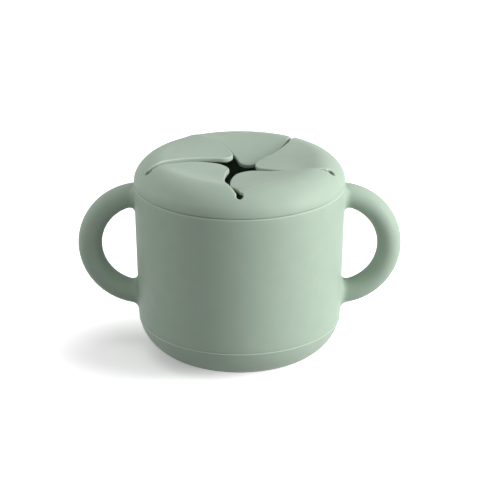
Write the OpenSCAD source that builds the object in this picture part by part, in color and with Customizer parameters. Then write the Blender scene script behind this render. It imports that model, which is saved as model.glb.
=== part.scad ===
// Toddler snack cup: a soft two-handled cup with a push-on lid whose top is
// cut into five spiral petals that bend aside for a small hand.
//
// Units are millimetres and +Z is up. The origin is the centre of the base on
// the table. The handles lie along X and the front of the cup faces -Y.

/* [Cup] */
// Outer radius of the cup at the seam under the lid
cup_r = 43; // [38:0.5:50]
// Height of the seam between cup and lid
seam_h = 72; // [64:1:84]
// Taper of the wall, in degrees from upright
wall_draft = 1.1; // [0:0.1:2.5]
// Thickness of the cup's wall and floor
cup_wall = 3.15; // [2.9:0.05:4.2]
// Radius of the rounded lower corner
base_round = 17; // [12:0.5:21]
// Radius of the shallow recess under the base
recess_r = 18; // [10:1:20]
// Depth of the shallow recess under the base
recess_depth = 0.8; // [0.3:0.1:1.5]
// Height of the parting groove, as a share of the lower corner's radius
parting_share = 0.84; // [0.4:0.01:0.96]
// Radius of the parting groove
parting_r = 0.25; // [0.15:0.05:0.5]

/* [Rim] */
// Height of the rim that stands above the seam
rim_h = 3.3; // [2.4:0.1:4]
// Thickness of the rounded bead along the top of the rim
bead_d = 1.5; // [1.2:0.05:2]
// Step from the bead in to the neck below it
neck_step = 0.35; // [0.1:0.05:0.6]

/* [Handles] */
// Radius of the round handle bar
bar_r = 4.9; // [3.5:0.1:6]
// Radius of the handle's curve, at the middle of the bar
loop_r = 21.6; // [18:0.2:24]
// How far the centre of the handle's curve lies below the seam
loop_drop = 26.8; // [26:0.2:34]
// How far the centre of the handle's curve lies inside the wall
loop_inset = 2.6; // [0:0.1:6]
// Radius of the flare where the bar grows out of the wall
flare_r = 3; // [1.5:0.1:4.5]

/* [Lid] */
// Thickness of the lid's domed top
lid_wall = 2; // [1.5:0.1:2.6]
// Thickness of the skirt that is flush with the cup
skirt_wall = 1.5; // [1.2:0.05:1.8]
// Height of the skirt's upright part
skirt_h = 1; // [0.6:0.1:2.5]
// Radius of the lid's outer corner
corner_r = 7; // [5.5:0.1:8]
// How far the circle along which the lid is highest lies inside its outer edge
crest_inset = 14; // [12:0.5:17]
// Height of that highest circle above the seam
crest_rise = 11.3; // [10.5:0.1:13]
// Slope at which the petals dip towards the middle, in degrees
dish_angle = 10; // [4:0.5:14]
// Thickness of the plug ring inside the cup's mouth
plug_wall = 1.5; // [1.2:0.1:1.8]
// How far the plug ring reaches below the seam
plug_depth = 3; // [1.5:0.1:6]
// Radius of the sealing rib round the plug ring
rib_r = 0.3; // [0.2:0.05:0.5]

/* [Petals] */
// How far the centres of the relief holes lie inside the lid's outer edge
hole_inset = 4.6; // [4.2:0.1:7]
// Radius of a relief hole
hole_r = 1.4; // [1:0.1:1.8]
// Width of the slits between the petals
slit_gap = 1.8; // [0.8:0.05:2.2]
// How far each slit bows aside from a straight line, as a share of its length
slit_curve = 0.13; // [0.09:0.01:0.16]
// Radius of the rounded petal tips
tip_round = 5; // [3:0.1:6]
// How far the bend of a petal lies inside the line between its two holes
bend_inset = 1.2; // [0.6:0.1:2.4]
// How far the bend's axis lies below the top of the lid
bend_drop = 2.4; // [2.1:0.1:2.8]
// Radius of the rounded root on which a petal turns
root_r = 2.8; // [2.6:0.1:3.2]
// Rest angle of each petal above the moulded slope, from the front right one on anticlockwise
petal_set = [-3.5, 0.5, -3, 4.5, 0]; // [-5:0.5:5]

/* [Clearances] */
// Gap at the seam between cup and lid
seam_gap = 0.2; // [0.1:0.05:0.4]
// Gap between the cup's rim and the lid's channel, on every side
rim_gap = 0.15; // [0.1:0.05:0.3]
// Gap round the rounded root of a petal
root_gap = 0.25; // [0.15:0.05:0.4]

/* [Hidden] */
$fn = 96;
petal_count = 5;
petal_pitch = 360 / petal_count;
first_hole_angle = -90;
cut = 1;

// Cup
cup_foot_r = cup_r - seam_h * tan(wall_draft);
corner_x = cup_foot_r + base_round * tan(wall_draft) - base_round / cos(wall_draft);
parting_lean = asin(parting_share - 1);

// Handles: the bar's ends and the flares run on into the wall, then are cut off
loop_h = seam_h - loop_drop;
loop_x = cup_foot_r + loop_h * tan(wall_draft) - loop_inset;
loop_half_turn = 110;
flare_sink = flare_r / 8;
flare_tail = 3;

// Rim and the channel that fits over it
rim_out = cup_r - skirt_wall - rim_gap;
rim_in = rim_out - bead_d;
rim_top = seam_h + rim_h;
channel_top = rim_top + rim_gap;
plug_out = rim_in - rim_gap - rib_r;
plug_in = plug_out - plug_wall;
bore_h = seam_h - 2 * plug_depth;

// Lid: two arcs that run into each other, then a straight slope to the middle
crest_r = cup_r - crest_inset;
crest_h = seam_h + crest_rise;
corner_c = [cup_r - corner_r, seam_h + skirt_h];
lift = crest_h - corner_c.y;
reach = corner_c.x - crest_r;
crown_r = (reach * reach + lift * lift - corner_r * corner_r) / (2 * (lift - corner_r));
crown_c = [crest_r, crest_h - crown_r];
corner_turn = atan2(corner_c.y - crown_c.y, reach);
crown_steps = 11;
corner_steps = 7;
crown_step = (90 + dish_angle - corner_turn) / crown_steps;
axis_gap = 2;

// Petals, drawn about +X between the holes at -pitch/2 and +pitch/2
hole_circle_r = cup_r - hole_inset;
slit_bow = slit_curve * hole_circle_r;
slit_r = (hole_circle_r * hole_circle_r / 4 + slit_bow * slit_bow) / (2 * slit_bow);
bend_x = hole_circle_r * cos(petal_pitch / 2) - bend_inset;
bend_z = crest_h - bend_drop;
root_lap = 0.1;
hole_floor = channel_top + lid_wall / 2;

// Point at a distance from the origin, in a direction
function polar(r, a) = [r * cos(a), r * sin(a)];

// Centre of the circle that the slit from the hole in direction a follows
function slit_centre(a) =
    polar(hole_circle_r / 2, a) + polar(slit_r - slit_bow, a + 90);

// Where two circles cross, on the left of the way from the first to the second
function crossing(c1, r1, c2, r2) =
    let (
        way = c2 - c1,
        d = norm(way),
        along = (d * d + r1 * r1 - r2 * r2) / (2 * d),
        aside = sqrt(r1 * r1 - along * along)
    )
    c1 + way * along / d + [-way.y, way.x] * aside / d;

// Points along an arc
function arc(centre, r, from, to, steps) =
    [for (k = [0 : steps]) centre + polar(r, from + (to - from) * k / steps)];

function backwards(points) = [for (k = [len(points) - 1 : -1 : 0]) points[k]];

// Section of the lid's top, or of a surface at a depth below it, from the foot
// of the skirt inwards: the corner, the crown and the slope to near the axis
function lid_curve(depth) =
    let (
        turn_end = crown_c + polar(crown_r - depth, 90 + dish_angle),
        slope_end = [axis_gap, turn_end.y - (turn_end.x - axis_gap) * tan(dish_angle)]
    )
    concat(
        [[cup_r - depth, seam_h + seam_gap]],
        arc(corner_c, corner_r - depth, 0, corner_turn, corner_steps),
        arc(crown_c, crown_r - depth, corner_turn + crown_step, 90 + dish_angle, crown_steps - 1),
        [slope_end]
    );

// Unit vector from one point to another
function toward(from, to) = (to - from) / norm(to - from);

// Height at which a circle crosses the bend's axis, on its lower side
function at_bend(centre, r) = centre.y - sqrt(r * r - pow(bend_x - centre.x, 2));

// The slits on the two sides of a petal, and where the petal's edges meet the bend
near_c = slit_centre(-petal_pitch / 2);
far_c = slit_centre(petal_pitch / 2);
near_edge_r = slit_r - slit_gap / 2;
far_edge_r = slit_r + slit_gap / 2;
bend_from = at_bend(near_c, near_edge_r);
bend_to = at_bend(far_c, far_edge_r);

// ---------------------------------------------------------------- cup

// Half section of the cup's outer form, or of its hollow at a wall's depth
module cup_form(depth = 0, top = seam_h) {
    polygon([
        [0, depth],
        [corner_x, depth],
        [corner_x, base_round],
        [corner_x + (base_round - depth) * cos(wall_draft),
         base_round - (base_round - depth) * sin(wall_draft)],
        [cup_foot_r + top * tan(wall_draft) - depth / cos(wall_draft), top],
        [0, top]
    ]);
    translate([corner_x, base_round]) circle(base_round - depth);
}

// Half section of the rim: a neck with a round bead along its top
module rim_form() {
    bead_h = rim_top - bead_d / 2;
    translate([rim_in, seam_h - cup_wall])
        square([bead_d - neck_step, bead_h - seam_h + cup_wall]);
    translate([rim_in + bead_d / 2, bead_h]) circle(d = bead_d);
}

module cup_body() {
    rotate_extrude() cup_form();
}

module cup() {
    color("#A3B4A4")
    rotate_extrude()
    difference() {
        union() {
            cup_form();
            rim_form();
        }
        cup_form(cup_wall, bore_h);
        translate([0, bore_h]) square([rim_in, rim_top - bore_h + cut]);
        translate([0, -cut]) square([recess_r, recess_depth + cut]);
        translate([corner_x, base_round] + polar(base_round, parting_lean)) circle(parting_r);
    }
}

// ---------------------------------------------------------------- handles

// Flare at a root: the bar's section widening towards the wall
module root_flare(turn) {
    rotate([0, 90 - turn, 0])
    translate([0, 0, -flare_sink])
    rotate_extrude()
    difference() {
        translate([0, -flare_tail]) square([bar_r + flare_r, flare_r + flare_tail]);
        translate([bar_r + flare_r, flare_r]) circle(flare_r);
    }
}

module handle() {
    difference() {
        intersection() {
            union() {
                translate([loop_x, 0, loop_h])
                    rotate([90, 0, 0])
                    rotate([0, 0, -loop_half_turn])
                    rotate_extrude(angle = 2 * loop_half_turn)
                    translate([loop_r, 0]) circle(bar_r);
                for (s = [-1, 1]) {
                    wall_x = cup_foot_r + (loop_h + s * loop_r) * tan(wall_draft);
                    lean = asin((wall_x - loop_x) / loop_r);
                    translate([wall_x, 0, loop_h + s * loop_r * cos(lean)])
                        root_flare(-s * lean);
                }
            }
            translate([0, -2 * bar_r, 0]) cube([4 * cup_r, 4 * bar_r, seam_h - seam_gap]);
        }
        cup_body();
    }
}

module handle_right() {
    color("#A9BAAA") handle();
}

module handle_left() {
    color("#A9BAAA") mirror([1, 0, 0]) handle();
}

// ---------------------------------------------------------------- lid

// Half section between the lid's top surface and one at a depth below it
module dome_form(depth = lid_wall) {
    polygon(concat(lid_curve(0), backwards(lid_curve(depth))));
}

// Half section of the lid's ring: dome edge, skirt, channel and plug
module ring_form() {
    skirt_foot = seam_h + seam_gap;
    plug_foot = seam_h - plug_depth;
    difference() {
        union() {
            polygon(concat(lid_curve(0), [
                [axis_gap, plug_foot],
                [plug_out, plug_foot],
                [plug_out, channel_top],
                [cup_r - skirt_wall, channel_top],
                [cup_r - skirt_wall, skirt_foot]
            ]));
            translate([plug_out - plug_wall / 2, plug_foot]) circle(d = plug_wall);
            translate([plug_out, seam_h - plug_depth / 2]) circle(rib_r);
        }
        intersection() {
            polygon(concat(lid_curve(lid_wall), [[axis_gap, 0], [cup_r - lid_wall, 0]]));
            square([plug_in, crest_h]);
        }
        square([bend_x - cut, 2 * crest_h]);
    }
}

// Turns its children to where petal i lies
module at_petal(i) {
    rotate([0, 0, first_hole_angle + (i + 0.5) * petal_pitch]) children();
}

// Plan of the strip between two slits, each moved outwards by grow
module petal_strip(grow = 0) {
    intersection() {
        difference() {
            translate(near_c) circle(near_edge_r + grow);
            translate(far_c) circle(far_edge_r - grow);
        }
        translate([bend_x - 2 * crest_r, -crest_r]) square(2 * crest_r);
    }
}

// Plan of a petal inside its bend, with its rounded tip
module petal_plan() {
    tip_c = crossing(near_c, near_edge_r - tip_round, far_c, far_edge_r + tip_round);
    near_touch = near_c + toward(near_c, tip_c) * near_edge_r;
    far_touch = far_c + toward(far_c, tip_c) * far_edge_r;
    aside = toward(near_touch, far_touch) * 2 * tip_round;
    past = toward([bend_x, 0], tip_c) * 4 * tip_round;
    near_stop = near_touch - aside;
    far_stop = far_touch + aside;
    difference() {
        petal_strip();
        polygon([near_stop, far_stop, far_stop + past, near_stop + past]);
    }
    translate(tip_c) circle(tip_round);
}

// Half round root of a petal along its bend, larger by gap on every side
module bend_root(gap = 0) {
    long = bend_to - bend_from + 2 * gap;
    intersection() {
        translate([bend_x, bend_to + gap, bend_z])
            rotate([90, 0, 0]) cylinder(r = root_r + gap, h = long);
        translate([bend_x - root_lap, bend_from - gap - cut, 0])
            cube([2 * root_r, long + 2 * cut, 2 * crest_h]);
    }
}

module relief_hole(a) {
    translate(concat(polar(hole_circle_r, a), hole_floor)) cylinder(r = hole_r, h = crest_h);
}

// Stretch of a slit between the bend and its relief hole
module slit_end() {
    near_hole = polar(hole_circle_r, -petal_pitch / 2);
    translate([0, 0, hole_floor])
    linear_extrude(crest_h)
    intersection() {
        difference() {
            translate(near_c) circle(near_edge_r + slit_gap);
            translate(near_c) circle(near_edge_r);
        }
        circle(hole_circle_r);
        translate(near_hole) circle(6 * hole_r);
    }
}

module lid_rim() {
    color("#A7B8A8")
    difference() {
        rotate_extrude() ring_form();
        for (i = [0 : petal_count - 1]) at_petal(i) {
            linear_extrude(2 * crest_h) petal_strip(slit_gap);
            bend_root(root_gap);
            slit_end();
            relief_hole(-petal_pitch / 2);
        }
    }
}

module petal(i) {
    bend = [bend_x, 0, bend_z];
    color("#ADBEAE")
    at_petal(i)
    translate(bend) rotate([0, petal_set[i], 0]) translate(-bend)
    difference() {
        intersection() {
            rotate_extrude() intersection() {
                dome_form();
                square([hole_circle_r + hole_r, 2 * crest_h]);
            }
            union() {
                linear_extrude(2 * crest_h) petal_plan();
                bend_root();
            }
        }
        relief_hole(-petal_pitch / 2);
        relief_hole(petal_pitch / 2);
    }
}

module petal_front_right() { petal(0); }

module petal_right() { petal(1); }

module petal_back() { petal(2); }

module petal_left() { petal(3); }

module petal_front_left() { petal(4); }

// ---------------------------------------------------------------- parts

cup();
handle_left();
handle_right();
lid_rim();
petal_front_right();
petal_right();
petal_back();
petal_left();
petal_front_left();
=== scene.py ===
"""Looks of a soft two-handled snack cup with a five-petal lid."""

import logging
import math
from collections.abc import Callable, Sequence
from dataclasses import dataclass, field, replace
from enum import Enum

import bmesh
import bpy
from mathutils import Matrix, Vector


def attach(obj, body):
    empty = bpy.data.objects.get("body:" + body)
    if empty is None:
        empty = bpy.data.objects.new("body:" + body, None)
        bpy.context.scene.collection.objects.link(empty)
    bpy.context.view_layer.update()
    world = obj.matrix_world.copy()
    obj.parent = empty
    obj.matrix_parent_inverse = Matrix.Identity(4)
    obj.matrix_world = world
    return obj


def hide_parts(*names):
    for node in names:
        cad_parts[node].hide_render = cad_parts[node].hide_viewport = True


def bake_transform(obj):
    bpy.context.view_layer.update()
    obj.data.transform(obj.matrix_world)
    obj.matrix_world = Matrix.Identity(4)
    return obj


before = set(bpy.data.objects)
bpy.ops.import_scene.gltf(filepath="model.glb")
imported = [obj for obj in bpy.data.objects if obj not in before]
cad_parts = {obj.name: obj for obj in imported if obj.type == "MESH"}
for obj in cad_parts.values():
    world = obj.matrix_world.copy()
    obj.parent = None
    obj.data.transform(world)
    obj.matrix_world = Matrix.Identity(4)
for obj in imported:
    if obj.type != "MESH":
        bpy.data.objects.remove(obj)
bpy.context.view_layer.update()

LOG = logging.getLogger("snack_cup")
# Pieces are drawn in millimetres, and finish_mesh turns them into metres.
MM = 0.001
MERGE_GAP = 1e-4
SLIVER = 1e-5
Point = tuple[float, float]
Colour = tuple[float, float, float]
Socket = bpy.types.NodeSocket
Tree = bpy.types.NodeTree


class Slot(Enum):
    """Material slots of the record."""

    CUP = "cup_silicone"
    LID = "lid_silicone"


class Side(Enum):
    """Side of the cup on which a handle sits, as the sign of X."""

    LEFT = -1
    RIGHT = 1


def polar(radius: float, angle: float) -> Vector:
    """Plan point at a distance from the origin, in a direction in degrees."""
    turn = math.radians(angle)
    return Vector((radius * math.cos(turn), radius * math.sin(turn)))


def smooth_step(value: float) -> float:
    """Ease from 0 to 1 with level ends."""
    t = min(max(value, 0.0), 1.0)
    return t * t * (3.0 - 2.0 * t)


def lerp(a: float, b: float, t: float) -> float:
    """Value a share t of the way from a to b."""
    return a + (b - a) * t


def near_angle(angle: float, target: float) -> float:
    """The same direction in radians, within half a turn of target."""
    return target + math.remainder(angle - target, 2.0 * math.pi)


def crossings(c1: Vector, r1: float, c2: Vector, r2: float) -> tuple[Vector, Vector]:
    """Points where two circles cross.

    Args:
        c1: Centre of the first circle.
        r1: Radius of the first circle.
        c2: Centre of the second circle.
        r2: Radius of the second circle.

    Returns:
        The crossing on the left of the way from c1 to c2, then the other.
    """
    way = c2 - c1
    gap = way.length
    along = (gap * gap + r1 * r1 - r2 * r2) / (2.0 * gap)
    aside = math.sqrt(max(r1 * r1 - along * along, 0.0))
    unit = way / gap
    left = Vector((-unit.y, unit.x))
    foot = c1 + unit * along
    return foot + left * aside, foot - left * aside


def rounded(corners: Sequence[tuple[float, float, float]], steps: int = 6) -> list[Point]:
    """Outline through corners, each rounded by its own radius.

    Args:
        corners: Radius, height and rounding of each corner, in order.
        steps: Segments in each rounding.

    Returns:
        Points of the open outline.
    """
    points: list[Point] = []
    last = len(corners) - 1
    for n, (x, z, radius) in enumerate(corners):
        here = Vector((x, z))
        if radius <= 0.0 or n in (0, last):
            points.append((x, z))
            continue
        before = (Vector(corners[n - 1][:2]) - here).normalized()
        after = (Vector(corners[n + 1][:2]) - here).normalized()
        half = before.angle(after) / 2.0
        reach = radius / math.tan(half)
        middle = here + (before + after).normalized() * radius / math.sin(half)
        start = here + before * reach - middle
        end = here + after * reach - middle
        first = math.atan2(start.y, start.x)
        final = near_angle(math.atan2(end.y, end.x), first)
        for k in range(steps + 1):
            turn = lerp(first, final, k / steps)
            points.append((middle.x + radius * math.cos(turn), middle.y + radius * math.sin(turn)))
    return points


def arc(centre: Point, radius: float, start: float, end: float, steps: int) -> list[Point]:
    """Points along an arc.

    Args:
        centre: Radius and height of the middle of the arc.
        radius: Radius of the arc.
        start: Direction of the first point, in degrees.
        end: Direction of the last point, in degrees.
        steps: Segments in the arc.

    Returns:
        The points from start to end.
    """
    points = []
    for k in range(steps + 1):
        offset = polar(radius, lerp(start, end, k / steps))
        points.append((centre[0] + offset.x, centre[1] + offset.y))
    return points


def finish_mesh(bm: bmesh.types.BMesh, name: str, crease: float = 50.0) -> bpy.types.Object:
    """Turns a bmesh in millimetres into an object in metres.

    Args:
        bm: The finished mesh, which is freed.
        name: Name of the piece.
        crease: Angle in degrees above which an edge stays sharp.

    Returns:
        The new object, in the scene.
    """
    bmesh.ops.remove_doubles(bm, verts=bm.verts, dist=MERGE_GAP)
    bmesh.ops.dissolve_degenerate(bm, dist=SLIVER, edges=bm.edges)
    bmesh.ops.recalc_face_normals(bm, faces=bm.faces)
    bmesh.ops.scale(bm, vec=(MM, MM, MM), verts=bm.verts)
    limit = math.radians(crease)
    for face in bm.faces:
        face.smooth = True
    for edge in bm.edges:
        edge.smooth = not (edge.is_manifold and edge.calc_face_angle() > limit)
    mesh = bpy.data.meshes.new(name)
    bm.to_mesh(mesh)
    bm.free()
    obj = bpy.data.objects.new(name, mesh)
    bpy.context.scene.collection.objects.link(obj)
    return obj


def spun(
    name: str, profile: Sequence[Point], closed: bool, segments: int = 192
) -> bpy.types.Object:
    """Turns a profile once round the axis.

    Args:
        name: Name of the piece.
        profile: Radius and height of each point, in millimetres.
        closed: True if the last point joins the first.
        segments: Steps in the turn.

    Returns:
        The new object.
    """
    bm = bmesh.new()
    verts = [bm.verts.new((r, 0.0, z)) for r, z in profile]
    edges = [bm.edges.new(pair) for pair in zip(verts, verts[1:])]
    if closed:
        edges.append(bm.edges.new((verts[-1], verts[0])))
    bmesh.ops.spin(
        bm, geom=verts + edges, cent=(0, 0, 0), axis=(0, 0, 1),
        angle=math.tau, steps=segments, use_merge=True,
    )
    return finish_mesh(bm, name)


def mapped(
    name: str, across: int, along: int, place: Callable[[int, int], Vector], capped: bool = False
) -> bpy.types.Object:
    """Lays a grid over a form.

    Args:
        name: Name of the piece.
        across: Cells across the grid.
        along: Cells along the grid.
        place: Gives the position of the grid point in column i and row j.
        capped: True if the open ends are filled.

    Returns:
        The new object.
    """
    bm = bmesh.new()
    bmesh.ops.create_grid(bm, x_segments=across, y_segments=along, size=1.0)
    for vert in bm.verts:
        i = round((vert.co.x + 1.0) / 2.0 * across)
        j = round((vert.co.y + 1.0) / 2.0 * along)
        vert.co = place(i, j)
    bmesh.ops.remove_doubles(bm, verts=bm.verts, dist=MERGE_GAP)
    if capped:
        bmesh.ops.holes_fill(bm, edges=bm.edges, sides=0)
    return finish_mesh(bm, name)


def joined(tree: Tree, operation: str, first: Socket, second: Socket | float = 0.0) -> Socket:
    """Adds a Math node.

    Args:
        tree: Nodes of a material or of the world.
        operation: Name of the operation.
        first: First value.
        second: Second value, a socket or a number.

    Returns:
        The result.
    """
    node = tree.nodes.new("ShaderNodeMath")
    node.operation = operation
    tree.links.new(first, node.inputs[0])
    if isinstance(second, float):
        node.inputs[1].default_value = second
    else:
        tree.links.new(second, node.inputs[1])
    return node.outputs["Value"]


def ranged(tree: Tree, value: Socket, source: Point, target: Point, smooth: bool = False) -> Socket:
    """Adds a Map Range node.

    Args:
        tree: Nodes of a material.
        value: Value to map.
        source: Values at which the result starts and ends.
        target: Results at these values.
        smooth: True if the ends are level.

    Returns:
        The mapped value.
    """
    node = tree.nodes.new("ShaderNodeMapRange")
    node.interpolation_type = "SMOOTHSTEP" if smooth else "LINEAR"
    node.inputs["From Min"].default_value, node.inputs["From Max"].default_value = source
    node.inputs["To Min"].default_value, node.inputs["To Max"].default_value = target
    tree.links.new(value, node.inputs["Value"])
    return node.outputs["Result"]


def measured(tree: Tree, operation: str, place: Socket, second: Sequence[float]) -> bpy.types.Node:
    """Adds a Vector Math node.

    Args:
        tree: Nodes of a material.
        operation: Name of the operation.
        place: First vector.
        second: Second vector.

    Returns:
        The node.
    """
    node = tree.nodes.new("ShaderNodeVectorMath")
    node.operation = operation
    node.inputs[1].default_value = second
    tree.links.new(place, node.inputs[0])
    return node


def noise(tree: Tree, place: Socket, scale: float, detail: float) -> Socket:
    """Adds a Noise Texture node.

    Args:
        tree: Nodes of a material.
        place: Position on the piece.
        scale: Spots in a metre.
        detail: Octaves of finer spots.

    Returns:
        The noise, from 0 to 1.
    """
    node = tree.nodes.new("ShaderNodeTexNoise")
    node.inputs["Scale"].default_value = scale
    node.inputs["Detail"].default_value = detail
    tree.links.new(place, node.inputs["Vector"])
    return node.outputs["Fac"]


@dataclass(frozen=True)
class Silicone:
    """Matte silicone with a faint mottle, a fine moulded grain and painted highlights on its edges.

    Attributes:
        name: Name of the material.
        tint: Darker colour of the mottle.
        pale: Lighter colour of the mottle.
        edge: Colour of the painted highlight on rounded edges and level lines.
        highlight_share: How much of the painted highlight colour a place takes, 0 for none.
        highlight_bend: Pointiness at which the painted highlight starts and is full.
        highlight_reach: Distance from the axis inside which edges get the painted highlight, in
            metres.
        lines: Height and half width in metres of level lines of painted highlight, drawn
            instead of bent edges.
        roughness: Least and most roughness across the grain.
        mottle_scale: Spots of mottle in a metre.
        mottle_span: Noise at which the mottle is darkest and lightest.
        mottle_detail: Octaves of the mottle.
        grain_scale: Spots of grain in a metre.
        grain_detail: Octaves of the grain.
        grain_depth: Height of the grain, in metres.
        grain_strength: Strength of the grain's bump.
        gloss: Values of the shader's own gloss and sheen sockets.
    """

    name: str
    tint: Colour
    pale: Colour
    # Colour of the painted highlight on rounded edges and level lines.
    edge: Colour = (0.62, 0.72, 0.62)
    highlight_share: float = 0.65
    highlight_bend: Point = (0.505, 0.545)
    highlight_reach: float = 1.0
    lines: tuple[Point, ...] = ()
    roughness: Point = (0.46, 0.58)
    mottle_scale: float = 160.0
    mottle_span: Point = (0.3, 0.7)
    mottle_detail: float = 4.0
    grain_scale: float = 2600.0
    grain_detail: float = 2.0
    grain_depth: float = 0.00003
    grain_strength: float = 0.35
    gloss: tuple[tuple[str, float], ...] = (
        ("IOR", 1.42), ("Specular IOR Level", 0.25), ("Sheen Weight", 0.08),
        ("Sheen Roughness", 0.5),
    )

    def edge_highlights(self, tree: Tree, place: Socket) -> Socket:
        """Paints a highlight on the rounded edges within reach of the axis.

        Args:
            tree: Nodes of the material.
            place: Position on the piece.

        Returns:
            The share of painted highlight colour.
        """
        shape = tree.nodes.new("ShaderNodeNewGeometry")
        # Pointiness picks out the rounded edges that get a painted highlight.
        highlight_mask = ranged(tree, shape.outputs["Pointiness"], self.highlight_bend, (0.0, self.highlight_share))
        flat = measured(tree, "MULTIPLY", place, (1.0, 1.0, 0.0))
        radius = measured(tree, "LENGTH", flat.outputs["Vector"], (0.0, 0.0, 0.0))
        inner = joined(tree, "LESS_THAN", radius.outputs["Value"], self.highlight_reach)
        return joined(tree, "MULTIPLY", highlight_mask, inner)

    def line_highlights(self, tree: Tree, place: Socket) -> Socket:
        """Paints level lines of highlight.

        Args:
            tree: Nodes of the material.
            place: Position on the piece.

        Returns:
            The share of painted highlight colour.
        """
        split = tree.nodes.new("ShaderNodeSeparateXYZ")
        tree.links.new(place, split.inputs["Vector"])
        shares = []
        # Each level line gets a soft band of painted highlight.
        for height, half in self.lines:
            off = joined(tree, "ABSOLUTE", joined(tree, "SUBTRACT", split.outputs["Z"], height))
            shares.append(ranged(tree, off, (half, 0.0), (0.0, self.highlight_share), smooth=True))
        total = shares[0]
        for share in shares[1:]:
            total = joined(tree, "MAXIMUM", total, share)
        return total

    def colour(self, tree: Tree, place: Socket) -> Socket:
        """Mixes the mottle and the painted highlights on edges and lines.

        Args:
            tree: Nodes of the material.
            place: Position on the piece.

        Returns:
            The colour.
        """
        mottle = noise(tree, place, self.mottle_scale, self.mottle_detail)
        ramp = tree.nodes.new("ShaderNodeValToRGB")
        stops = zip(ramp.color_ramp.elements, self.mottle_span, (self.tint, self.pale))
        for element, position, colour in stops:
            element.position = position
            element.color = (*colour, 1.0)
        tree.links.new(mottle, ramp.inputs["Fac"])
        if self.highlight_share <= 0.0:
            return ramp.outputs["Color"]
        find = self.line_highlights if self.lines else self.edge_highlights
        blend = tree.nodes.new("ShaderNodeMix")
        blend.data_type = "RGBA"
        # Painted highlight colour, mixed over the mottle where the highlight mask is.
        blend.inputs["B"].default_value = (*self.edge, 1.0)
        tree.links.new(find(tree, place), blend.inputs["Factor"])
        tree.links.new(ramp.outputs["Color"], blend.inputs["A"])
        return blend.outputs["Result"]

    def build(self) -> bpy.types.Material:
        """Builds the node material.

        Returns:
            The new material.
        """
        mat = bpy.data.materials.new(self.name)
        mat.use_nodes = True
        tree = mat.node_tree
        shader = tree.nodes["Principled BSDF"]
        place = tree.nodes.new("ShaderNodeTexCoord").outputs["Object"]
        grain = noise(tree, place, self.grain_scale, self.grain_detail)
        bump = tree.nodes.new("ShaderNodeBump")
        bump.inputs["Strength"].default_value = self.grain_strength
        bump.inputs["Distance"].default_value = self.grain_depth
        dull = ranged(tree, grain, (0.0, 1.0), self.roughness)
        tree.links.new(grain, bump.inputs["Height"])
        tree.links.new(self.colour(tree, place), shader.inputs["Base Color"])
        tree.links.new(dull, shader.inputs["Roughness"])
        tree.links.new(bump.outputs["Normal"], shader.inputs["Normal"])
        for socket, value in self.gloss:
            shader.inputs[socket].default_value = value
        return mat


def dress(
    obj: bpy.types.Object, mat: bpy.types.Material, slot: Slot, nodes: Sequence[str]
) -> bpy.types.Object:
    """Dresses a piece.

    Args:
        obj: The piece.
        mat: Its material.
        slot: Its slot in the record, not used.
        nodes: The nodes that it stands for.

    Returns:
        The same piece.
    """
    obj.data.materials.append(mat)
    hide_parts(*nodes)
    LOG.info("%s: %d faces", obj.name, len(obj.data.polygons))
    return obj


@dataclass(frozen=True)
class Wall:
    """The cup's straight tapering wall."""

    seam_r: float = 43.0
    seam_h: float = 72.0
    draft: float = 1.1

    def radius(self, height: float) -> float:
        """Outer radius at a height."""
        return self.seam_r - (self.seam_h - height) * math.tan(math.radians(self.draft))

    def normal(self, point: Vector) -> Vector:
        """Outward direction at a point on the wall."""
        flat = Vector((point.x, point.y, 0.0)).normalized()
        return (flat - Vector((0, 0, math.tan(math.radians(self.draft))))).normalized()


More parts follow.
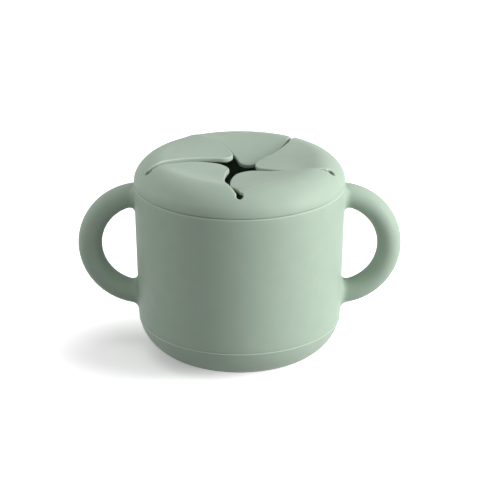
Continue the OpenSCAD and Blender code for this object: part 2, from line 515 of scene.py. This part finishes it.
@dataclass
class CupBody:
    """The cup itself, with its rim, hollow and foot."""

    wall: Wall = field(default_factory=Wall)
    thickness: float = 3.15
    base_round: float = 17.0
    recess_r: float = 18.0
    recess_depth: float = 0.8
    parting_h: float = 14.3
    parting_depth: float = 0.2
    parting_lip: float = 0.14
    parting_half: float = 0.16
    lip_drop: float = 0.34
    corner_steps: int = 40
    fine_turn: float = 0.18
    fine_steps: int = 9
    wall_heights: tuple[float, ...] = (20.0, 30.0, 40.0, 50.0, 60.0, 68.0)
    neck_r: float = 41.0
    neck_rise: float = 1.8
    rim_in: float = 39.85
    rim_top: float = 75.3
    bead_d: float = 1.5
    bore_h: float = 66.0
    bore_taper_h: float = 50.0
    edge_round: float = 0.8
    # Half widths in metres of the painted highlight lines at the parting lip and at the edge under
    # the lid.
    highlight_halves: Point = (0.00035, 0.0009)

    def corner_x(self) -> float:
        """Finds where the rounded lower corner is centred.

        Returns:
            The radius of its centre.
        """
        draft = math.radians(self.wall.draft)
        foot = self.wall.radius(0.0)
        return foot + self.base_round * (math.tan(draft) - 1.0 / math.cos(draft))

    def lower_corner(self) -> list[Point]:
        """Rounds the lower corner, with the parting line across it.

        Returns:
            Section points from the base to the wall.
        """
        centre = (self.corner_x(), self.base_round)
        parting = math.degrees(math.asin((self.parting_h - self.base_round) / self.base_round))
        steps, fine = self.corner_steps, self.fine_steps
        angles = [lerp(-90.0, -self.wall.draft, k / steps) for k in range(steps + 1)]
        near = [parting + k * self.fine_turn for k in range(-fine, fine + 1)]
        clear = self.fine_turn * (fine + 1)
        turns = sorted([a for a in angles if abs(a - parting) > clear] + near)
        points = []
        for turn in turns:
            step = math.radians(turn - parting) * self.base_round
            groove = -self.parting_depth * math.exp(-((step / self.parting_half) ** 2))
            lip = self.parting_lip * math.exp(-(((step + self.lip_drop) / self.parting_half) ** 2))
            offset = polar(self.base_round + groove + lip, turn)
            points.append((centre[0] + offset.x, centre[1] + offset.y))
        return points

    def profile(self) -> list[Point]:
        """Draws the whole section.

        Returns:
            Points from the axis under the base to the axis inside.
        """
        seam_h = self.wall.seam_h
        bead_r = self.bead_d / 2.0
        foot = rounded([
            (0.0, self.recess_depth, 0.0), (self.recess_r, self.recess_depth, 0.3),
            (self.recess_r, 0.0, 0.4), (self.corner_x(), 0.0, 0.0),
        ])
        side = [(self.wall.radius(h), h) for h in self.wall_heights]
        shoulder = rounded([
            (*side[-1], 0.0), (self.wall.seam_r, seam_h, self.edge_round),
            (self.neck_r, seam_h, 0.25), (self.neck_r, seam_h + self.neck_rise, 0.0),
        ])[1:]
        bead = arc((self.rim_in + bead_r, self.rim_top - bead_r), bead_r, -30.0, 180.0, 14)
        inner_foot = self.base_round - self.thickness
        draft = self.wall.draft
        slope = self.thickness / math.cos(math.radians(draft))
        inside = rounded([
            (self.rim_in, self.rim_top - 2.0, 0.0), (self.rim_in, self.bore_h, 0.1),
            (self.wall.radius(self.bore_h) - slope, self.bore_h - 0.2, 0.1),
            (self.wall.radius(self.bore_taper_h) - slope, self.bore_taper_h, 0.0),
        ])
        floor = arc((self.corner_x(), self.base_round), inner_foot, -draft, -90.0, 24)
        return [*foot, *self.lower_corner()[1:], *side, *shoulder, *bead, *inside, *floor,
                (0.0, self.thickness)]

    def highlight_lines(self) -> tuple[Point, ...]:
        """Places painted highlight lines at the parting lip and at the edge under the lid.

        Returns:
            Height and half width of each line, in metres.
        """
        heights = (self.parting_h - self.lip_drop) * MM, self.wall.seam_h * MM
        return tuple(zip(heights, self.highlight_halves))

    def build(self, mat: bpy.types.Material) -> bpy.types.Object:
        """Builds the cup and dresses it.

        Args:
            mat: Material of the cup.

        Returns:
            The cup.
        """
        obj = spun("cup_body", self.profile(), closed=False)
        dress(obj, mat, Slot.CUP, ["cup"])
        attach(obj, "cup")
        return obj


@dataclass
class Handle:
    """One looped handle that grows out of the wall with soft roots."""

    side: Side
    wall: Wall = field(default_factory=Wall)
    bar_r: float = 4.9
    loop_r: float = 21.6
    loop_h: float = 45.2
    loop_inset: float = 2.6
    root_blend: float = 3.2
    seam_clear: float = 0.45
    root_least: float = 0.12
    bar_least: float = 0.8
    land_sunk: float = 0.01
    sunk: float = 1.2
    entry_turns: Point = (50.0, 112.0)
    entry_steps: int = 40
    around: int = 56
    fillet_steps: int = 9
    bar_steps: int = 56

    def surface(self, alpha: float, turn: float) -> Vector:
        """Finds a point on the bar.

        Args:
            alpha: Direction round the bar, in radians.
            turn: Direction along its curve, in radians.

        Returns:
            The point.
        """
        centre_x = self.wall.radius(self.loop_h) - self.loop_inset
        reach = self.loop_r + self.bar_r * math.cos(alpha)
        return Vector((
            centre_x + reach * math.cos(turn), self.bar_r * math.sin(alpha),
            self.loop_h + reach * math.sin(turn),
        ))

    def meets_wall(self, alpha: float, end: int) -> float:
        """Finds where the bar enters the wall.

        Args:
            alpha: Direction round the bar, in radians.
            end: 1 for the top root, -1 for the bottom one.

        Returns:
            The direction along the bar's curve, in radians.
        """
        outside, inside = (math.radians(turn) for turn in self.entry_turns)
        for _ in range(self.entry_steps):
            middle = (outside + inside) / 2.0
            point = self.surface(alpha, end * middle)
            clear = math.hypot(point.x, point.y) > self.wall.radius(point.z)
            outside, inside = (middle, inside) if clear else (outside, middle)
        return end * outside

    def root(self, alpha: float, end: int) -> tuple[list[Vector], float]:
        """Rounding from the wall to the bar along one line of the bar.

        Args:
            alpha: Place round the bar, in radians.
            end: 1 for the top root, -1 for the bottom one.

        Returns:
            Points from inside the wall to the bar, and the turn at which the bar starts.
        """
        turn = self.meets_wall(alpha, end)
        hit = self.surface(alpha, turn)
        flat = Vector((math.cos(alpha) * math.cos(turn), math.sin(alpha),
                       math.cos(alpha) * math.sin(turn)))
        normal = self.wall.normal(hit)
        aside = (flat - normal * flat.dot(normal)).normalized()
        reach = self.root_blend
        room = self.wall.seam_h - self.seam_clear - hit.z
        if aside.z * reach > room:
            reach = max(room / aside.z, self.root_least)
        bar_reach = self.loop_r + self.bar_r * math.cos(alpha)
        start = turn - end * max(reach, self.bar_least) / bar_reach
        bar = self.surface(alpha, start)
        land = hit + aside * reach
        scale = (self.wall.radius(land.z) - self.land_sunk) / math.hypot(land.x, land.y)
        land = Vector((land.x * scale, land.y * scale, land.z))
        points = [land - self.wall.normal(land) * self.sunk]
        for k in range(self.fillet_steps + 1):
            t = k / self.fillet_steps
            points.append(land * (1 - t) ** 2 + hit * 2 * t * (1 - t) + bar * t * t)
        return points, start

    def build(self, mat: bpy.types.Material) -> bpy.types.Object:
        """Builds the handle and dresses it.

        Args:
            mat: Material of the handle.

        Returns:
            The handle.
        """
        lines = []
        for i in range(self.around):
            alpha = math.tau * i / self.around
            low, first = self.root(alpha, -1)
            high, last = self.root(alpha, 1)
            bar = [self.surface(alpha, lerp(first, last, k / self.bar_steps))
                   for k in range(1, self.bar_steps)]
            lines.append([*low, *bar, *reversed(high)])
        sign = self.side.value

        def place(i: int, j: int) -> Vector:
            """Places a grid point.

            Args:
                i: Column, round the bar.
                j: Row, along the bar.

            Returns:
                The point.
            """
            point = lines[i % self.around][j]
            return Vector((point.x * sign, point.y, point.z))

        label = self.side.name.lower()
        obj = mapped(f"loop_handle_{label}", self.around, len(lines[0]) - 1, place, capped=True)
        dress(obj, mat, Slot.CUP, [f"handle_{label}"])
        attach(obj, "cup")
        return obj


@dataclass(frozen=True)
class Dome:
    """Section of the lid's top surface: slope, crown and corner."""

    cup_r: float = 43.0
    seam_h: float = 72.0
    skirt_h: float = 1.0
    corner_r: float = 7.0
    crest_r: float = 31.5
    crest_rise: float = 10.6
    dish: float = 7.0

    def corner(self) -> Point:
        """Centre of the outer corner's arc."""
        return self.cup_r - self.corner_r, self.seam_h + self.skirt_h

    def crown(self) -> tuple[Point, float]:
        """Finds the arc of the crown.

        Returns:
            Its centre and its radius.
        """
        centre = self.corner()
        lift = self.seam_h + self.crest_rise - centre[1]
        reach = centre[0] - self.crest_r
        radius = (reach * reach + lift * lift - self.corner_r ** 2) / (2.0 * (lift - self.corner_r))
        return (self.crest_r, self.seam_h + self.crest_rise - radius), radius

    def join(self) -> tuple[float, float]:
        """Finds where the crown meets the corner.

        Returns:
            The radius from the axis, and the direction in degrees from either centre.
        """
        (cx, cz), _ = self.crown()
        kx, kz = self.corner()
        turn = math.atan2(kz - cz, kx - cx)
        return kx + self.corner_r * math.cos(turn), math.degrees(turn)

    def place(self, r: float, depth: float) -> Point:
        """Finds a section point under the top surface.

        Args:
            r: Radius from the axis at the top surface.
            depth: Depth square to the surface.

        Returns:
            The point.
        """
        (cx, cz), radius = self.crown()
        kx, kz = self.corner()
        tilt = math.radians(self.dish)
        turn_x = cx - radius * math.sin(tilt)
        if r < turn_x:
            z = cz + radius * math.cos(tilt) - (turn_x - r) * math.tan(tilt)
            return r + depth * math.sin(tilt), z - depth * math.cos(tilt)
        if r < self.join()[0]:
            lift = math.sqrt(radius ** 2 - (r - cx) ** 2)
            share = (radius - depth) / radius
            return cx + (r - cx) * share, cz + lift * share
        lift = math.sqrt(max(self.corner_r ** 2 - (r - kx) ** 2, 0.0))
        share = (self.corner_r - depth) / self.corner_r
        return kx + (r - kx) * share, kz + lift * share


@dataclass
class LidRing:
    """The stiff outer ring of the lid: shoulder, skirt, channel and plug."""

    dome: Dome = field(default_factory=Dome)
    thickness: float = 2.0
    inner_edge: float = 40.2
    seam_gap: float = 0.2
    skirt_wall: float = 1.5
    channel_top: float = 75.45
    plug_out: float = 39.4
    plug_wall: float = 1.5
    plug_root: float = 73.0
    plug_foot: float = 69.0
    rib_r: float = 0.3
    rib_h: float = 70.5
    foot_round: float = 0.3

    def profile(self) -> list[Point]:
        """Draws the closed section.

        Returns:
            Points from the inner edge over the shoulder and back.
        """
        corner = self.dome.corner()
        join_x, join_turn = self.dome.join()
        crown = [self.dome.place(lerp(self.inner_edge, join_x, k / 6), 0.0) for k in range(6)]
        shoulder = arc(corner, self.dome.corner_r, join_turn, 0.0, 24)
        foot = self.dome.seam_h + self.seam_gap
        inside = self.dome.cup_r - self.skirt_wall
        plug_in = self.plug_out - self.plug_wall
        plug_r = self.plug_wall / 2.0
        skirt = rounded([
            (self.dome.cup_r, corner[1], 0.0), (self.dome.cup_r, foot, self.foot_round),
            (inside, foot, 0.2), (inside, self.channel_top, 0.3),
            (self.plug_out, self.channel_top, 0.3), (self.plug_out, self.plug_root, 0.0),
        ])[1:]
        rib = arc((self.plug_out, self.rib_h), self.rib_r, 90.0, -90.0, 8)
        tip = arc((plug_in + plug_r, self.plug_foot), plug_r, 0.0, -180.0, 12)
        (cx, _), radius = self.dome.crown()
        first = cx + (plug_in - cx) * radius / (radius - self.thickness)
        under = [self.dome.place(lerp(first, self.inner_edge, k / 4), self.thickness)
                 for k in range(5)]
        return [*crown, *shoulder, *skirt, *rib, *tip, *under]

    def build(self, mat: bpy.types.Material) -> bpy.types.Object:
        """Builds the ring and dresses it.

        Args:
            mat: Material of the lid.

        Returns:
            The ring.
        """
        obj = spun("lid_ring", self.profile(), closed=True)
        dress(obj, mat, Slot.LID, ["lid_rim"])
        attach(obj, "lid")
        return obj


@dataclass
class PetalPlan:
    """Plan of one petal and its sector, drawn about +X between two holes."""

    pitch: float = 72.0
    hole_circle_r: float = 38.4
    hole_r: float = 1.4
    slit_gap: float = 1.8
    slit_bow: float = 4.992
    tip_round: float = 5.0
    outer_r: float = 40.2
    line_steps: int = 4
    hole_steps: int = 12
    slit_steps: int = 64
    tip_steps: int = 10

    def slit(self, angle: float) -> tuple[Vector, float]:
        """Finds the arc of a slit.

        Args:
            angle: Direction of the slit's relief hole, in degrees.

        Returns:
            The arc's centre and radius.
        """
        half = self.hole_circle_r / 2.0
        radius = (half * half + self.slit_bow ** 2) / (2.0 * self.slit_bow)
        centre = polar(half, angle) + polar(radius - self.slit_bow, angle + 90.0)
        return centre, radius

    def edge(self, side: int, inset: float) -> list[Vector]:
        """One side of the sector, from its outer end to the middle of the tip.

        Args:
            side: -1 for the near slit, 1 for the far slit.
            inset: Distance of the line inside the cut edge.

        Returns:
            Plan points, as many for either side and any inset.
        """
        angle = side * self.pitch / 2.0
        centre, radius = self.slit(angle)
        radius += side * (self.slit_gap / 2.0 + inset)
        near_c, slit_r = self.slit(-self.pitch / 2.0)
        far_c, _ = self.slit(self.pitch / 2.0)
        half_gap = self.slit_gap / 2.0
        tip_c = crossings(near_c, slit_r - half_gap - self.tip_round,
                          far_c, slit_r + half_gap + self.tip_round)[0]
        hole_c = polar(self.hole_circle_r, angle)
        hole_r = self.hole_r + inset
        start = min(crossings(centre, radius, hole_c, hole_r), key=lambda p: p.length)
        points = [polar(lerp(self.outer_r, self.hole_circle_r + hole_r, k / self.line_steps), angle)
                  for k in range(self.line_steps)]
        first = math.radians(angle)
        offset = start - hole_c
        last = math.atan2(offset.y, offset.x)
        last = first - side * ((first - last) * side % math.tau)
        for k in range(self.hole_steps):
            turn = lerp(first, last, k / self.hole_steps)
            points.append(hole_c + hole_r * Vector((math.cos(turn), math.sin(turn))))
        away = (tip_c - centre).normalized()
        touch = centre + away * radius
        first = math.atan2(start.y - centre.y, start.x - centre.x)
        last = near_angle(math.atan2(touch.y - centre.y, touch.x - centre.x), first)
        for k in range(self.slit_steps):
            turn = lerp(first, last, k / self.slit_steps)
            points.append(centre + radius * Vector((math.cos(turn), math.sin(turn))))
        middle = math.atan2(tip_c.y, tip_c.x - self.hole_circle_r)
        ends = []
        for c, sign in ((near_c, 1.0), (far_c, -1.0)):
            way = (tip_c - c) * sign
            ends.append(near_angle(math.atan2(way.y, way.x), middle))
        first = ends[0] if side < 0 else ends[1]
        last = sum(ends) / 2.0
        tip_r = self.tip_round - inset
        for k in range(self.tip_steps + 1):
            turn = lerp(first, last, k / self.tip_steps)
            points.append(tip_c + tip_r * Vector((math.cos(turn), math.sin(turn))))
        return points


@dataclass(frozen=True)
class Rest:
    """How one soft petal rests.

    Attributes:
        angle: Turn about the bend line, in degrees.
        twist: Rise of the far edge, 20 mm from the middle line.
        droop: Fall of the tip, 20 mm from the bend line.
        sag: Fall of the middle of the petal.
        warp: Fall of the far edge there, 15 mm from the middle line.
        shrink: How much the petal draws back, 30 mm from the bend line.
        tip_round: Radius of the tip.
        hump_reach: Distance from the bend line at which the sag is deepest.
        twist_reach: Distance from the bend line at which the twist is full.
    """

    angle: float
    twist: float = 0.0
    droop: float = 0.0
    sag: float = 0.0
    warp: float = 0.0
    shrink: float = 0.0
    tip_round: float = 5.0
    hump_reach: float = 11.0
    twist_reach: float = 14.0

    def height(self, free: float, aside: float) -> float:
        """Finds how far the soft sheet rises.

        Args:
            free: Distance in from the bend line.
            aside: Distance from the middle line.

        Returns:
            The rise, which is negative for a fall.
        """
        reach = (free / self.hump_reach) ** 2
        hump = reach * math.exp(1.0 - reach)
        twist = self.twist * aside / 20.0 * smooth_step(free / self.twist_reach)
        droop = self.droop * (free / 20.0) ** 2
        return twist - droop - (self.sag + self.warp * aside / 15.0) * hump

    def pull(self, free: float) -> float:
        """How far the sheet is drawn back, free mm in from the bend line."""
        return self.shrink * (max(free, 0.0) / 30.0) ** 2


@dataclass
class Petal:
    """One bending petal with the stretch of lid that carries it."""

    body: str
    direction: float
    rest: Rest
    dome: Dome = field(default_factory=Dome)
    thickness: float = 2.0
    rim_round: float = 0.5
    rim_steps: int = 5
    columns: int = 44
    bend_x: float = 38.4 * math.cos(math.radians(36.0)) - 1.2
    bend_z: float = 80.2
    bend_half: float = 2.3
    curve_start: float = 22.0
    curve_span: float = 14.0

    def rim(self) -> list[tuple[float, float]]:
        """Rounds the cut edge.

        Returns:
            Inset and depth of each line along it, from top to bottom.
        """
        top = []
        for k in range(self.rim_steps + 1):
            turn = math.radians(90.0 * k / self.rim_steps)
            top.append((self.rim_round * (1.0 - math.sin(turn)),
                        self.rim_round * (1.0 - math.cos(turn))))
        bottom = [(inset, self.thickness - depth) for inset, depth in reversed(top)]
        return top + bottom

    def bent(self, point: Vector) -> Vector:
        """Turns a point of the moulded form to where the petal rests.

        Args:
            point: Point in the sector's own frame.

        Returns:
            The point at rest.
        """
        free = max(self.bend_x + self.bend_half - point.x, 0.0)
        share = smooth_step(free / (2.0 * self.bend_half))
        pivot = Vector((self.bend_x, 0.0, self.bend_z))
        turn = Matrix.Rotation(math.radians(self.rest.angle) * share, 3, "Y")
        rise = Vector((0.0, 0.0, self.rest.height(free, point.y)))
        return turn @ (point - pivot) + pivot + rise

    def solid_point(self, plan_point: Vector, depth: float) -> Vector:
        """Finds the point of the resting petal under a plan point.

        Args:
            plan_point: Point in the plan, about +X.
            depth: Depth under the top surface.

        Returns:
            The point in the sector's own frame.
        """
        drawn = plan_point + Vector((self.rest.pull(self.bend_x - plan_point.x), 0.0))
        r = drawn.length
        radius, height = self.dome.place(r, depth)
        flat = drawn * (radius / r)
        return self.bent(Vector((flat.x, flat.y, height)))

    def across(self, near: Vector, far: Vector, share: float) -> Vector:
        """Finds a plan point between the sides, on an arc near the ring.

        Args:
            near: Point on the near side.
            far: Point on the far side.
            share: Share of the way from near to far.

        Returns:
            The plan point.
        """
        straight = near.lerp(far, share)
        r = lerp(near.length, far.length, share)
        turn = lerp(math.atan2(near.y, near.x), math.atan2(far.y, far.x), share)
        curved = Vector((r * math.cos(turn), r * math.sin(turn)))
        inner = min(near.length, far.length)
        weight = smooth_step((inner - self.curve_start) / self.curve_span)
        return straight.lerp(curved, weight)

    def build(self, mat: bpy.types.Material) -> bpy.types.Object:
        """Builds the petal with its sector of the lid and dresses it.

        Args:
            mat: Material of the lid.

        Returns:
            The petal.
        """
        rim = self.rim()
        plan = PetalPlan(tip_round=self.rest.tip_round)
        near = [plan.edge(-1, inset) for inset, _ in rim]
        far = [plan.edge(1, inset) for inset, _ in rim]
        rows = len(near[0])
        last = len(rim) - 1
        loop: list[tuple[str, int]] = [("top", c) for c in range(self.columns + 1)]
        loop += [("far", k) for k in range(1, last)]
        loop += [("bottom", c) for c in range(self.columns, -1, -1)]
        loop += [("near", k) for k in range(last - 1, 0, -1)]
        turn = Matrix.Rotation(math.radians(self.direction), 3, "Z")

        def place(i: int, j: int) -> Vector:
            """Places a grid point.

            Args:
                i: Column, round the section.
                j: Row, from the ring inwards.

            Returns:
                The point.
            """
            part, n = loop[i % len(loop)]
            row = max(j - 1, 0)
            if part in ("top", "bottom"):
                k = 0 if part == "top" else last
                flat = self.across(near[k][row], far[k][row], n / self.columns)
                depth = rim[k][1]
            else:
                flat = (near if part == "near" else far)[n][row]
                depth = rim[n][1]
            if j == 0:
                depth = self.thickness / 2.0
            return turn @ self.solid_point(flat, depth)

        obj = mapped(f"{self.body}_skin", len(loop), rows, place)
        dress(obj, mat, Slot.LID, [self.body])
        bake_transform(obj)
        return obj


@dataclass
class Lid:
    """The lid: one ring and five petals."""

    names: tuple[str, ...] = ("petal_front_right", "petal_right", "petal_back",
                              "petal_left", "petal_front_left")
    rests: tuple[Rest, ...] = (
        Rest(-3.5, twist=2.3, droop=-0.5, sag=0.35, warp=0.3, shrink=1.8, tip_round=5.7),
        Rest(0.5, twist=0.9, warp=-0.4, shrink=0.5, tip_round=6.2),
        Rest(-3.0, twist=0.5, sag=-0.3, tip_round=4.5),
        Rest(4.5, twist=-0.4, sag=-0.3, shrink=0.6, tip_round=4.2),
        Rest(0.0, twist=-1.0, sag=0.75, warp=-0.2, shrink=0.8, tip_round=5.5),
    )
    pitch: float = 72.0
    first_hole: float = -90.0

    def build(self, mat: bpy.types.Material) -> None:
        """Builds the ring and every petal.

        Args:
            mat: Material of the lid.
        """
        LidRing().build(mat)
        for n, name in enumerate(self.names):
            direction = self.first_hole + (n + 0.5) * self.pitch
            Petal(name, direction, self.rests[n]).build(mat)


def seen_rays(tree: Tree) -> Socket:
    """Tells the rays that show a backdrop, seen straight on, mirrored or through glass.

    Args:
        tree: Nodes of the floor's material or of the world.

    Returns:
        1 for such a ray, else 0.
    """
    path = tree.nodes.new("ShaderNodeLightPath")
    bounced = joined(tree, "MAXIMUM", path.outputs["Is Glossy Ray"],
                     path.outputs["Is Transmission Ray"])
    return joined(tree, "MAXIMUM", path.outputs["Is Camera Ray"], bounced)


@dataclass
class Studio:
    """Floor, light and camera.

    Attributes:
        target: Point that the camera and the lamps face.
        distance: Way from there to the camera.
        elevation: Height of the camera, in degrees.
        lens: Focal length, in millimetres.
        shift: Sideways shift of the picture.
        world: Strength of the light from all round.
        lamp_size: Side of each lamp.
        lamp_distance: Way from the target to each lamp.
        lamps: Name, azimuth and elevation in degrees, and power in watts of each lamp.
        floor_half: Half the side of the floor.
        floor_tone: Brightness of the floor as it lights the object and as it is seen.
        floor_glow: Glow of the floor as it is seen, in the shade's middle and outside.
        shade_centre: Middle of the shade beside the cup.
        shade_reach: Way from there at which the glow starts to rise and is full.
    """

    target: tuple[float, float, float] = (0.0, 0.0, 0.0465)
    distance: float = 0.75
    elevation: float = 21.8
    lens: float = 136.66
    shift: float = 0.0008
    world: float = 0.41
    lamp_size: float = 0.5
    lamp_distance: float = 1.05
    lamps: tuple[tuple[str, float, float, float], ...] = (
        ("key", 73.0, 9.0, 9.9), ("key_high", 80.0, 30.0, 4.8),
        ("rim", -104.0, 16.0, 2.2), ("top", -60.0, 76.0, 1.8),
    )
    floor_half: float = 3.0
    floor_tone: Point = (0.36, 0.9)
    floor_glow: Point = (0.26, 0.72)
    shade_centre: tuple[float, float, float] = (-0.042, -0.012, 0.0)
    shade_reach: Point = (0.015, 0.056)

    def floor_finish(self) -> bpy.types.Material:
        """Builds a pale matte finish that glows softly outside the shade.

        Returns:
            The new material.
        """
        mat = bpy.data.materials.new("floor_white")
        mat.use_nodes = True
        tree = mat.node_tree
        tree.nodes.remove(tree.nodes["Principled BSDF"])
        seen = seen_rays(tree)
        matte = tree.nodes.new("ShaderNodeBsdfDiffuse")
        tree.links.new(ranged(tree, seen, (0.0, 1.0), self.floor_tone), matte.inputs["Color"])
        place = tree.nodes.new("ShaderNodeTexCoord").outputs["Object"]
        away = measured(tree, "DISTANCE", place, self.shade_centre).outputs["Value"]
        fade = ranged(tree, away, self.shade_reach, self.floor_glow, smooth=True)
        glow = tree.nodes.new("ShaderNodeEmission")
        tree.links.new(joined(tree, "MULTIPLY", seen, fade), glow.inputs["Strength"])
        both = tree.nodes.new("ShaderNodeAddShader")
        tree.links.new(matte.outputs[0], both.inputs[0])
        tree.links.new(glow.outputs[0], both.inputs[1])
        tree.links.new(both.outputs[0], tree.nodes["Material Output"].inputs["Surface"])
        return mat

    def floor(self) -> None:
        """Lays a plain pale floor that keeps the shadow."""
        bm = bmesh.new()
        bmesh.ops.create_grid(bm, x_segments=1, y_segments=1, size=self.floor_half)
        mesh = bpy.data.meshes.new("floor")
        bm.to_mesh(mesh)
        bm.free()
        mesh.materials.append(self.floor_finish())
        obj = bpy.data.objects.new("floor", mesh)
        bpy.context.scene.collection.objects.link(obj)

    def sky(self) -> None:
        """Lights the scene softly from all round, with a white backdrop."""
        world = bpy.data.worlds.new("studio")
        bpy.context.scene.world = world
        world.use_nodes = True
        tree = world.node_tree
        soft, white = tree.nodes["Background"], tree.nodes.new("ShaderNodeBackground")
        mix = tree.nodes.new("ShaderNodeMixShader")
        tree.links.new(seen_rays(tree), mix.inputs["Fac"])
        for n, (light, strength) in enumerate(((soft, self.world), (white, 1.0)), start=1):
            light.inputs["Color"].default_value = (1.0, 1.0, 1.0, 1.0)
            light.inputs["Strength"].default_value = strength
            tree.links.new(light.outputs[0], mix.inputs[n])
        tree.links.new(mix.outputs[0], tree.nodes["World Output"].inputs["Surface"])

    def lamp(self, name: str, azimuth: float, elevation: float, power: float) -> None:
        """Adds a square lamp that faces the object.

        Args:
            name: Name of the lamp.
            azimuth: Degrees from the camera's side towards +X.
            elevation: Degrees above the object.
            power: Power in watts.
        """
        data = bpy.data.lights.new(name, "AREA")
        data.shape = "SQUARE"
        data.size = self.lamp_size
        data.energy = power
        flat = polar(math.cos(math.radians(elevation)), azimuth - 90.0)
        away = Vector((flat.x, flat.y, math.sin(math.radians(elevation))))
        obj = bpy.data.objects.new(name, data)
        obj.location = Vector(self.target) + away * self.lamp_distance
        obj.rotation_euler = (-away).to_track_quat("-Z", "Y").to_euler()
        bpy.context.scene.collection.objects.link(obj)

    def camera(self) -> None:
        """Places the camera."""
        data = bpy.data.cameras.new("camera")
        data.lens = self.lens
        data.sensor_width = 36.0
        data.shift_x = self.shift
        data.clip_end = 20.0
        obj = bpy.data.objects.new("camera", data)
        tilt = math.radians(self.elevation)
        back = Vector((0.0, -math.cos(tilt), math.sin(tilt)))
        obj.location = Vector(self.target) + back * self.distance
        obj.rotation_euler = (math.pi / 2.0 - tilt, 0.0, 0.0)
        bpy.context.scene.collection.objects.link(obj)
        bpy.context.scene.camera = obj

    def build(self) -> None:
        """Sets up the whole studio."""
        self.camera()
        self.floor()
        self.sky()
        for lamp in self.lamps:
            self.lamp(*lamp)
        bpy.context.scene.view_settings.view_transform = "Standard"


def main() -> None:
    """Builds every piece in order."""
    logging.basicConfig(level=logging.INFO, format="%(name)s: %(message)s")
    cup = CupBody()
    # The cup gets painted highlight lines at its parting lip and at its edge under the lid.
    sage = Silicone("cup_sage", (0.342, 0.432, 0.350), (0.358, 0.450, 0.366),
                    highlight_share=0.5, lines=cup.highlight_lines())
    # The lid gets a painted highlight on the petals' rounded edges, kept inside 39.2 mm of the
    # axis.
    lid_sage = Silicone("lid_sage", (0.352, 0.442, 0.360), (0.368, 0.460, 0.376),
                        highlight_reach=0.0392)
    # The handles get no painted highlight.
    handle_mat = replace(sage, name="handle_sage", highlight_share=0.0).build()
    cup.build(sage.build())
    for side in Side:
        Handle(side).build(handle_mat)
    Lid().build(lid_sage.build())
    Studio().build()


if __name__ == "__main__":
    main()
